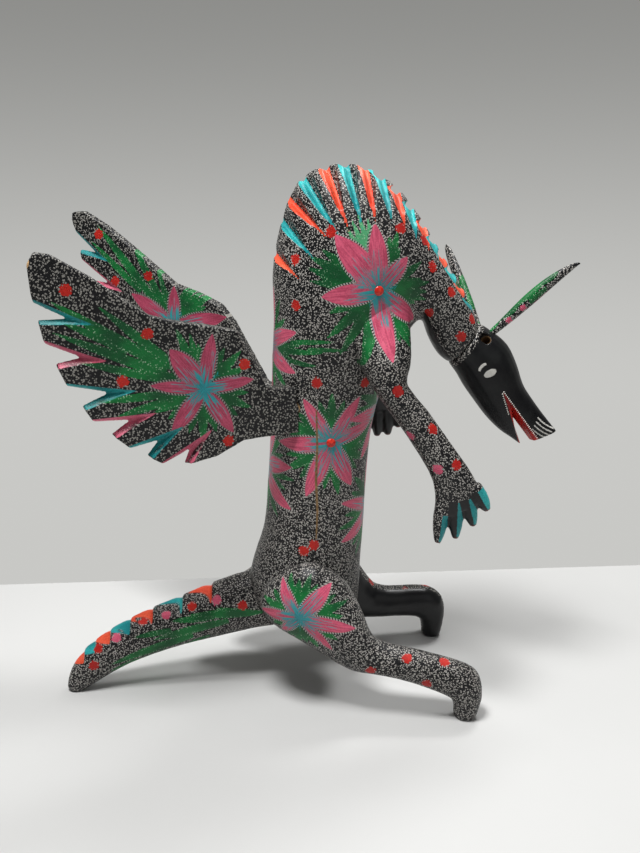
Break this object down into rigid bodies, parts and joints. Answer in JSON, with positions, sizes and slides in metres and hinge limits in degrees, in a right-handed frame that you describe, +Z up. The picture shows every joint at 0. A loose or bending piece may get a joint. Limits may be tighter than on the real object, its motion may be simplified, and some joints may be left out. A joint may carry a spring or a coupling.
{
  "type": "carved wooden dragon figure",
  "caption": "Standing carved and painted wooden dragon with an arched neck, saw-cut crest and tail, plug-in feathered wings, a horn and an ear.",
  "frame": {"origin": "centre of the figure's bounding box in plan, on the surface it stands on", "axes": "+X the way the figure faces, +Y its left side, +Z up"},
  "size_m": [0.3999, 0.1848, 0.4136],
  "materials": {
    "painted_wood": "acrylic paint, satin: white dots on black with green leaves and pink flowers",
    "painted_wing": "acrylic paint, satin: as the body, with turquoise and pink notches",
    "painted_leaf": "acrylic paint, satin: white dots and small pink flowers on green and black",
    "black_paint": "plain black acrylic paint, satin",
    "bare_wood": "bare, planed",
    "filler": "dried filling paste, matt"
  },
  "bodies": {
    "figure": {"trunk": "painted_wood", "head": "black_paint", "right_arm": "painted_wood", "left_arm": "black_paint", "right_leg": "painted_wood", "left_leg": "painted_wood", "tail": "painted_wood", "crack_filler": "filler", "neck_dowel": "bare_wood", "right_arm_dowel": "bare_wood", "left_arm_dowel": "bare_wood", "right_leg_dowels": "bare_wood", "left_leg_dowels": "bare_wood", "tail_dowel": "bare_wood"},
    "right_wing": {"right_wing": "painted_wing"},
    "left_wing": {"left_wing": "painted_wing"},
    "horn": {"horn": "painted_leaf"},
    "left_ear": {"left_ear": "painted_leaf"}
  },
  "joints": [
    {"name": "right_wing_pull", "type": "slide", "parent": "figure", "child": "right_wing", "axis": [-0.9455, -0.3256, 0], "range_m": [0, 0.022]},
    {"name": "left_wing_pull", "type": "slide", "parent": "figure", "child": "left_wing", "axis": [-0.9455, 0.3256, 0], "range_m": [0, 0.022]},
    {"name": "horn_pull", "type": "slide", "parent": "figure", "child": "horn", "axis": [0.7431, 0, 0.6691], "range_m": [0, 0.011]},
    {"name": "left_ear_pull", "type": "slide", "parent": "figure", "child": "left_ear", "axis": [-0.2496, 0.6489, 0.7188], "range_m": [0, 0.011]}
  ]
}
